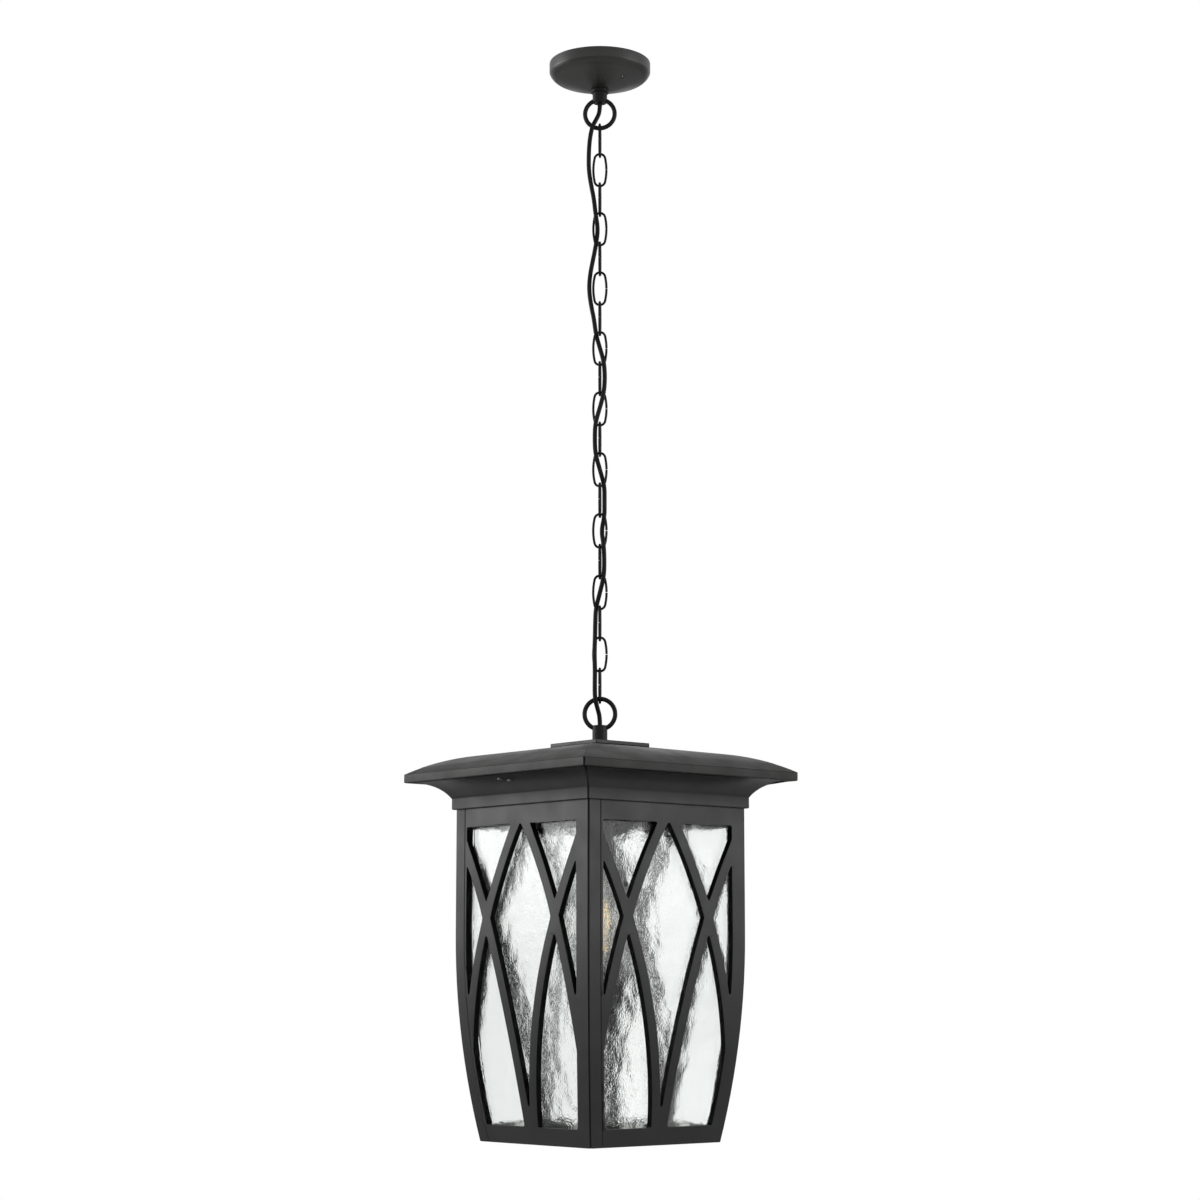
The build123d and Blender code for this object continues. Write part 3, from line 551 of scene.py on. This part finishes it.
def cord_curve(diameter):
    """The cord as a tube along a smooth curve, and the points of that curve."""
    diagonal = sqrt(0.5)
    curve = bpy.data.curves.new("cord_line", "CURVE")
    curve.dimensions = "3D"
    spline = curve.splines.new("NURBS")
    spline.points.add(len(CORD_ROUTE) - 1)
    for point, (along, near, height) in zip(spline.points, CORD_ROUTE):
        point.co = ((along + near) * diagonal, (along - near) * diagonal, height, 1)
    spline.order_u = 3
    spline.use_endpoint_u = True
    spline.resolution_u = CORD_STEPS
    line = bpy.data.objects.new("cord_line", curve)
    bpy.context.scene.collection.objects.link(line)
    points = [vertex.co.copy() for vertex in bpy.data.meshes.new_from_object(line).vertices]
    curve.bevel_depth = diameter / 2
    curve.bevel_resolution = CORD_SIDES
    curve.use_fill_caps = True
    tube = bpy.data.objects.new("cord_tube", bpy.data.meshes.new_from_object(line))
    bpy.context.scene.collection.objects.link(tube)
    bpy.data.objects.remove(line)
    return tube, points


def link_middle(joint):
    """Height of the middle of the chain link that a swing carries."""
    low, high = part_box("chain_" + joint["child"])
    return (low.z + high.z) / 2


def cut_level(height, **cleared):
    """Cuts the mesh in edit mode at that height, clears one side and closes the cut."""
    bpy.ops.mesh.select_all(action="SELECT")
    bpy.ops.mesh.bisect(plane_co=(0, 0, height), plane_no=(0, 0, 1), use_fill=True, **cleared)


class LANTERN_OT_cord(bpy.types.Operator):
    """Lay the cord through the chain, cut at the middle of each link"""

    bl_idname = "lantern.cord"
    bl_label = "Cord"

    def execute(self, context):
        sizes = context.scene.lantern_sizes
        jacket = cord_jacket(context.scene.lantern_colours.cord)
        tube, points = cord_curve(sizes.cord_diameter)
        cuts = [points[0].z, *[link_middle(joint) for joint in SWINGS[:-1]], points[-1].z]
        for number, (joint, top, bottom) in enumerate(zip(SWINGS, cuts, cuts[1:]), 1):
            length = copy_of(tube, f"lamp_cord_{number:02d}")
            into_edit(length)
            if joint is not SWINGS[0]:
                cut_level(top, clear_outer=True)
            if joint is not SWINGS[-1]:
                cut_level(bottom, clear_inner=True)
            out_of_edit()
            smooth(length)
            dress(length, jacket)
            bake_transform(length)
            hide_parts("lamp_cord")
        bpy.data.objects.remove(tube)
        for node in CORD_TAILS:
            self.tail(node, sizes.cord_diameter, jacket)
        return {"FINISHED"}

    def tail(self, node, diameter, jacket):
        """An end of the cord inside the collar and tube."""
        low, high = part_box(node)
        middle = (low + high) / 2
        bpy.ops.mesh.primitive_cylinder_add(
            vertices=TAIL_SIDES, radius=diameter / 2, depth=high.z - low.z, location=middle
        )
        end = bpy.context.active_object
        end.name = f"{node}_jacket"
        bpy.ops.object.transform_apply(location=True, rotation=True, scale=True)
        apply_modifier(
            end, "BEVEL", width=diameter * TAIL_EDGE, segments=EDGE_SEGMENTS, limit_method="ANGLE"
        )
        smooth(end)
        piece(end, NODES[node]["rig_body"], "black_cord", jacket, node)


class LANTERN_OT_castings(bpy.types.Operator):
    """Round the edges of the canopy, plate, roof, collar and side frames as a casting has them"""

    bl_idname = "lantern.castings"
    bl_label = "Castings"

    def execute(self, context):
        sizes, tones = context.scene.lantern_sizes, context.scene.lantern_colours
        paint = painted_metal("casting_paint", tones.casting, tones.casting_worn)
        # Painted shade on the roof and a painted sheen on the canopy: a darker, duller copy and a paler,
        # glossier copy of the casting paint
        shaded_roof_paint = painted_metal("roof_painted_shade", tones.roof, tones.casting_worn, gloss=0.26)
        sheen_canopy_paint = painted_metal("canopy_painted_sheen", tones.canopy, tones.casting_worn, gloss=0.6)
        shade_and_sheen_paints = {"roof": shaded_roof_paint, "canopy": sheen_canopy_paint}
        for node in CASTINGS:
            casting = merged_copy(node, f"cast_{node}")
            soften(casting, sizes.soft_edge)
            if node.startswith("side_frame"):
                turns = SIDES.index(node.removeprefix("side_frame_"))
                mark_reveal_shade(casting, Matrix.Rotation(radians(90) * turns, 3, "Z") @ FRONT)
            piece(casting, NODES[node]["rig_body"], SLOTS[node], shade_and_sheen_paints.get(node, paint), node)
        return {"FINISHED"}


class LANTERN_OT_panes(bpy.types.Operator):
    """Make the four panes of wavy glass"""

    bl_idname = "lantern.panes"
    bl_label = "Wavy panes"

    def execute(self, context):
        sizes = context.scene.lantern_sizes
        tint = context.scene.lantern_colours.pane
        glass = clear_glass("water_glass", tint, grain=0.0021, depth=0.00016, glint=0.3)
        first = self.sliced(sizes.pane_cell)
        for turns, side in enumerate(SIDES):
            pane = copy_of(first, f"wavy_pane_{side}")
            pane.data.transform(Matrix.Rotation(radians(90) * turns, 4, "Z"))
            self.waves(pane, sizes.wave_width, sizes.wave_depth, WAVE_STRETCH)
            self.waves(pane, sizes.ripple_width, sizes.ripple_depth, RIPPLE_STRETCH)
            smooth(pane, PANE_SMOOTH_ANGLE)
            piece(pane, "lantern", "water_glass", glass, f"glass_pane_{side}")
        bpy.data.objects.remove(first)
        return {"FINISHED"}

    def sliced(self, cell):
        """The first pane cut into small cells, so that waves can be pressed into it."""
        pane = merged_copy("glass_pane_left", "pane_slices")
        low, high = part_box("glass_pane_left")
        into_edit(pane)
        for axis in (0, 2):
            normal = [0, 0, 0]
            normal[axis] = 1
            count = round((high[axis] - low[axis]) / cell)
            for step in range(1, count):
                place = [0, 0, 0]
                place[axis] = low[axis] + (high[axis] - low[axis]) * step / count
                bpy.ops.mesh.select_all(action="SELECT")
                bpy.ops.mesh.bisect(plane_co=place, plane_no=normal)
        out_of_edit()
        apply_modifier(pane, "SUBSURF", subdivision_type="SIMPLE", levels=1, render_levels=1)
        return pane

    def waves(self, pane, width, depth, stretch):
        """Presses hollows of that width and depth into both faces, drawn out upwards."""
        texture = bpy.data.textures.new("waves", "CLOUDS")
        texture.noise_scale = width
        texture.noise_depth = 1
        texture.noise_basis = "IMPROVED_PERLIN"
        bpy.ops.object.empty_add()
        stretcher = bpy.context.active_object
        stretcher.scale = (1, 1, stretch)
        bpy.context.view_layer.update()
        apply_modifier(
            pane, "DISPLACE", texture=texture, texture_coords="OBJECT", texture_coords_object=stretcher,
            direction="NORMAL", mid_level=1.0, strength=depth,
        )
        bpy.data.objects.remove(stretcher)


class LANTERN_OT_finishes(bpy.types.Operator):
    """Give every solid that still shows its finish"""

    bl_idname = "lantern.finishes"
    bl_label = "Finishes"

    def execute(self, context):
        tones = context.scene.lantern_colours
        finishes = {
            "black_casting": painted_metal("loop_paint", tones.chain, tones.chain, gloss=0.2),
            "black_chain": painted_metal("chain_paint", tones.chain, tones.chain, grain=0.0006, gloss=0.14),
            "zinc_steel": plated_metal("zinc_plate", tones.zinc),
            "bright_steel": plated_metal("bright_steel", tones.bright, (0.4, 0.5)),
            "green_screw": moulded("green_enamel", tones.ground, (0.3, 0.4)),
            "black_holder": moulded("black_bakelite", tones.holder),
            "holder_brass": plated_metal("holder_brass", tones.brass, (0.22, 0.38), (1, 1, 6)),
            "lead_insulation": moulded("lead_insulation", tones.lead),
            "bulb_glass": clear_glass("bulb_glass", tones.bulb, grain=0.012, depth=0.00004),
            "bulb_base_metal": plated_metal("bulb_base_metal", tones.cap, (0.25, 0.4), (1, 1, 6)),
            "filament": glowing(tones.filament),
        }
        for node, slot in SLOTS.items():
            if not NODES[node].hide_render:
                dress(NODES[node], finishes[slot])
        return {"FINISHED"}


class LANTERN_OT_stage(bpy.types.Operator):
    """Set the floor, the lights and the camera"""

    bl_idname = "lantern.stage"
    bl_label = "Stage"

    def execute(self, context):
        scene = context.scene
        scene.view_settings.view_transform = "Standard"
        self.floor(scene.lantern_sizes.floor_drop, scene.lantern_colours.floor)
        self.world(scene)
        for lamp in LAMPS:
            self.lamp(*lamp)
        aim = (radians(90 + CAMERA_TILT), 0, radians(CAMERA_TURN))
        bpy.ops.object.camera_add(location=CAMERA_PLACE, rotation=aim)
        camera = context.active_object
        camera.data.lens = CAMERA_LENS
        scene.camera = camera
        return {"FINISHED"}

    def floor(self, drop, tone):
        """A plain pale floor that far below the lantern."""
        bpy.ops.mesh.primitive_plane_add(size=FLOOR_SIZE, location=(0, 0, SOLID_BOX[0][2] - drop))
        plane = bpy.context.active_object
        plane.name = "floor"
        finish = Finish("pale_floor")
        finish.link(finish.mottle(tone, 0.99, 1, size=0.6, detail=3), "Base Color")
        finish.roughen(0.6, 0.7, size=0.2, detail=3)
        white = finish.add("ShaderNodeEmission", Color=WHITE, Strength=1)
        self.white_to_eye(finish.tree, finish.surface, white, "Material Output", FLOOR_WHITE)
        dress(plane, finish.material)

    def world(self, scene):
        """White to the eye and through glass; a bright band above the horizon lights the object."""
        world = bpy.data.worlds.new("studio")
        scene.world = world
        world.use_nodes = True
        nodes, links = world.node_tree.nodes, world.node_tree.links
        direction = nodes.new("ShaderNodeTexCoord")
        upward = nodes.new("ShaderNodeSeparateXYZ")
        links.new(direction.outputs["Generated"], upward.inputs[0])
        place = nodes.new("ShaderNodeMapRange")
        place.inputs["From Min"].default_value = -1
        links.new(upward.outputs["Z"], place.inputs["Value"])
        ramp = nodes.new("ShaderNodeValToRGB")
        links.new(place.outputs[0], ramp.inputs[0])
        first, last = ramp.color_ramp.elements
        for element, (rise, level) in zip((first, last), (STUDIO_BAND[0], STUDIO_BAND[-1])):
            element.position = (rise + 1) / 2
            element.color = (level, level, level, 1)
        for rise, level in STUDIO_BAND[1:-1]:
            ramp.color_ramp.elements.new((rise + 1) / 2).color = (level, level, level, 1)
        light = nodes["Background"]
        links.new(ramp.outputs[0], light.inputs["Color"])
        seen = nodes.new("ShaderNodeBackground")
        seen.inputs["Color"].default_value = WHITE
        self.white_to_eye(world.node_tree, light, seen, "World Output")

    def white_to_eye(self, tree, lit, white, output, share=1):
        """White, by that share, to the eye and through glass; lit to all other rays."""
        nodes, links = tree.nodes, tree.links
        path = nodes.new("ShaderNodeLightPath")
        either = nodes.new("ShaderNodeMath")
        either.operation = "MAXIMUM"
        links.new(path.outputs["Is Camera Ray"], either.inputs[0])
        links.new(path.outputs["Is Transmission Ray"], either.inputs[1])
        part = nodes.new("ShaderNodeMath")
        part.operation = "MULTIPLY"
        part.inputs[1].default_value = share
        links.new(either.outputs[0], part.inputs[0])
        mix_shaders(tree, part.outputs[0], lit, white, output)

    def lamp(self, name, place, target, size, power):
        """A square area lamp that faces its target."""
        bpy.ops.object.light_add(type="AREA", location=place)
        lamp = bpy.context.active_object
        lamp.name = name
        lamp.rotation_euler = (Vector(target) - Vector(place)).to_track_quat("-Z", "Y").to_euler()
        lamp.data.size = size
        lamp.data.energy = power


class LANTERN_PT_sidebar(bpy.types.Panel):
    """Lists the lantern's settings and steps"""

    bl_idname = "LANTERN_PT_sidebar"
    bl_label = "Hanging lantern"
    bl_space_type = "VIEW_3D"
    bl_region_type = "UI"
    bl_category = "Lantern"

    def draw(self, context):
        for settings in (context.scene.lantern_sizes, context.scene.lantern_colours):
            box = self.layout.box()
            for name in settings.__annotations__:
                box.prop(settings, name)
        for step in STEPS:
            self.layout.operator(step.bl_idname)


STEPS = (LANTERN_OT_cord, LANTERN_OT_castings, LANTERN_OT_panes, LANTERN_OT_finishes, LANTERN_OT_stage)
CLASSES = (LanternSizes, LanternColours, *STEPS, LANTERN_PT_sidebar)


def register():
    for cls in CLASSES:
        bpy.utils.register_class(cls)
    bpy.types.Scene.lantern_sizes = PointerProperty(type=LanternSizes)
    bpy.types.Scene.lantern_colours = PointerProperty(type=LanternColours)


def unregister():
    del bpy.types.Scene.lantern_colours
    del bpy.types.Scene.lantern_sizes
    for cls in reversed(CLASSES):
        bpy.utils.unregister_class(cls)


def main():
    register()
    bpy.ops.lantern.cord()
    bpy.ops.lantern.castings()
    bpy.ops.lantern.panes()
    bpy.ops.lantern.finishes()
    bpy.ops.lantern.stage()


if __name__ == "__main__":
    main()
